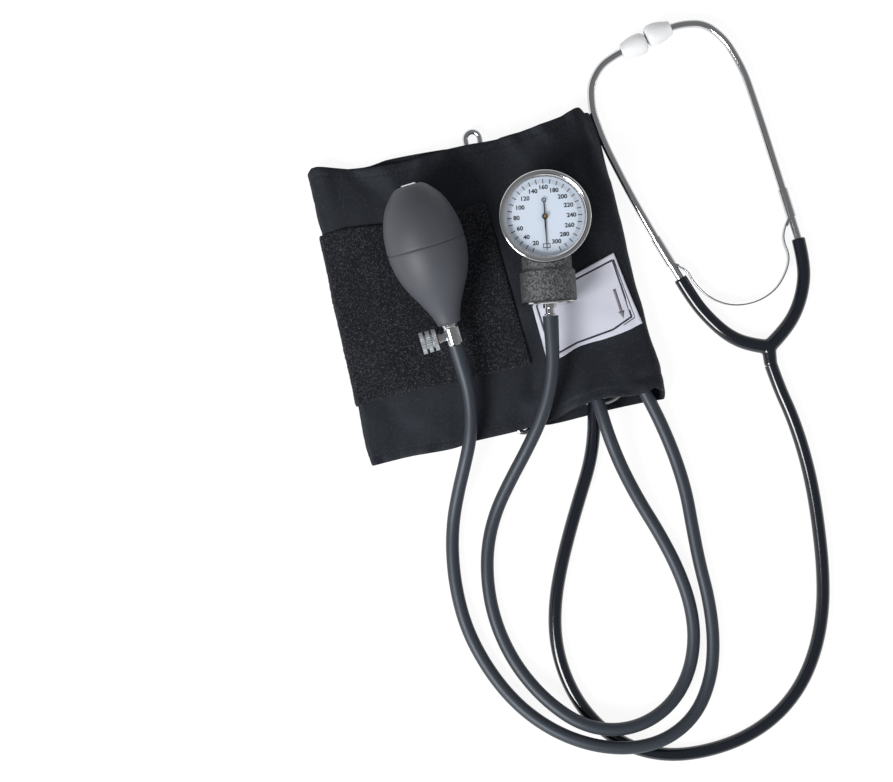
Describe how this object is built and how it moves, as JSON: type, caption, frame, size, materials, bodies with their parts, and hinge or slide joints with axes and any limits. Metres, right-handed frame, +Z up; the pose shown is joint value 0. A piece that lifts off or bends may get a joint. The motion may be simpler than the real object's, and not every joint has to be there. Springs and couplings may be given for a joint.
{
  "type": "aneroid sphygmomanometer",
  "caption": "Folded arm cuff with ring closure, squeeze bulb with release valve, round dial pressure gauge, air hoses and an attached binaural stethoscope.",
  "frame": {"origin": "middle of the folded cuff's underside, on the surface that the object lies on", "axes": "+X along the folded cuff towards the stethoscope, +Y across the cuff towards the ear tips, +Z up"},
  "size_m": [0.2502, 0.3838, 0.0503],
  "materials": {
    "nylon_cloth": "black woven nylon, satin",
    "loop_pile": "black loop pile",
    "hook_tape": "black hook tape",
    "label_satin": "white satin",
    "bladder_rubber": "matte moulded rubber",
    "bulb_rubber": "matte moulded rubber",
    "hose_rubber": "satin extruded rubber",
    "sound_vinyl": "glossy soft vinyl",
    "chrome": "polished nickel chrome plate",
    "case_paint": "grey wrinkle enamel",
    "dial_enamel": "pale enamel with printed scale",
    "pointer_black": "black enamel",
    "crystal": "clear",
    "brass": "turned",
    "spring_steel": "bright strip",
    "ear_tip_soft": "translucent white",
    "diaphragm_film": "stiff film"
  },
  "bodies": {
    "cuff_and_gauge": {"cuff_sleeve": "nylon_cloth", "cuff_tail": "nylon_cloth", "pile_patch": "loop_pile", "hook_patch": "hook_tape", "cuff_label": "label_satin", "bladder": "bladder_rubber", "bladder_port_bulb": "bladder_rubber", "bladder_port_gauge": "bladder_rubber", "gauge_case": "case_paint", "gauge_bezel": "chrome", "gauge_crystal": "crystal", "crystal_gasket": "bladder_rubber", "gauge_dial": "dial_enamel", "movement_plate": "brass", "bridge_plate": "brass", "movement_pillars": "brass", "bridge_screws": "spring_steel", "hairspring": "spring_steel", "spring_stud": "brass", "capsule": "brass", "capsule_seat": "brass", "base_plate": "chrome", "gauge_nipple": "chrome", "gauge_hook": "chrome", "hook_rivets": "spring_steel", "bulb": "bulb_rubber", "inlet_valve_seat": "chrome", "release_valve_body": "chrome", "release_gland": "chrome", "bulb_tube": "hose_rubber", "gauge_tube": "hose_rubber", "stethoscope_tube": "sound_vinyl", "ear_tube_left": "chrome", "ear_tip_left": "ear_tip_soft", "spring_sleeve_left": "chrome", "leaf_spring": "spring_steel", "y_arm_left": "sound_vinyl", "y_arm_right": "sound_vinyl", "y_junction": "sound_vinyl", "chestpiece_body": "chrome", "chestpiece_rim": "chrome", "chestpiece_diaphragm": "diaphragm_film", "chestpiece_stem": "chrome"},
    "ring": {"cuff_ring": "chrome"},
    "pointer_group": {"pointer": "pointer_black", "pointer_hub": "brass", "pointer_arbor": "brass"},
    "sector": {"sector_gear": "brass"},
    "capsule_pin": {"push_pin": "spring_steel"},
    "inlet_ball": {"inlet_check_ball": "spring_steel"},
    "outlet_ball": {"outlet_check_ball": "spring_steel"},
    "release_slide": {"release_seal": "bladder_rubber"},
    "release_screw": {"release_stem": "brass", "release_knob": "chrome"},
    "right_ear": {"ear_tube_right": "chrome", "ear_tip_right": "ear_tip_soft", "spring_sleeve_right": "chrome"}
  },
  "joints": [
    {"name": "ring_float", "type": "slide", "parent": "cuff_and_gauge", "child": "ring", "axis": [0.0493, 0.9988, 0], "range_m": [-0.001, 0.001]},
    {"name": "sector_turn", "type": "hinge", "parent": "cuff_and_gauge", "child": "sector", "pos_m": [0.03376, 0.01237, 0.0275], "axis": [0, 0, 1], "range_deg": [0, 33.86]},
    {"name": "pointer_turn", "type": "hinge", "parent": "cuff_and_gauge", "child": "pointer_group", "pos_m": [0.0383, 0.0248, 0.0323], "axis": [0, 0, -1], "range_deg": [0, 338.7], "deforming": ["hairspring"]},
    {"name": "capsule_push", "type": "slide", "parent": "cuff_and_gauge", "child": "capsule_pin", "axis": [0.1564, 0.9877, 0], "range_m": [0, 0.00155], "deforming": ["capsule"]},
    {"name": "inlet_ball_lift", "type": "slide", "parent": "cuff_and_gauge", "child": "inlet_ball", "axis": [0.0636, -0.9913, -0.115], "range_m": [0, 0.0008]},
    {"name": "outlet_ball_lift", "type": "slide", "parent": "cuff_and_gauge", "child": "outlet_ball", "axis": [0.0636, -0.9913, -0.115], "range_m": [0, 0.0008]},
    {"name": "release_screw_lift", "type": "slide", "parent": "cuff_and_gauge", "child": "release_slide", "axis": [-0.998, -0.064, 0], "range_m": [0, 0.00106]},
    {"name": "release_knob_turn", "type": "hinge", "parent": "release_slide", "child": "release_screw", "pos_m": [-0.02081, -0.02291, 0.0237], "axis": [-0.998, -0.064, 0], "range_deg": [0, 540]},
    {"name": "right_ear_swing", "type": "hinge", "parent": "cuff_and_gauge", "child": "right_ear", "pos_m": [0.1295, -0.0415, 0.0036], "axis": [0, 0, -1], "range_deg": [0, 30], "stiffness_Nm_per_rad": 0.3, "deforming": ["leaf_spring", "y_arm_right"]}
  ],
  "couplings": [
    {"joint": "sector_turn", "follows": "capsule_push", "rad_per_m": 382.26},
    {"joint": "pointer_turn", "follows": "capsule_push", "rad_per_m": 3822.6},
    {"joint": "release_screw_lift", "follows": "release_knob_turn", "m_per_rad": 0.00011141}
  ]
}
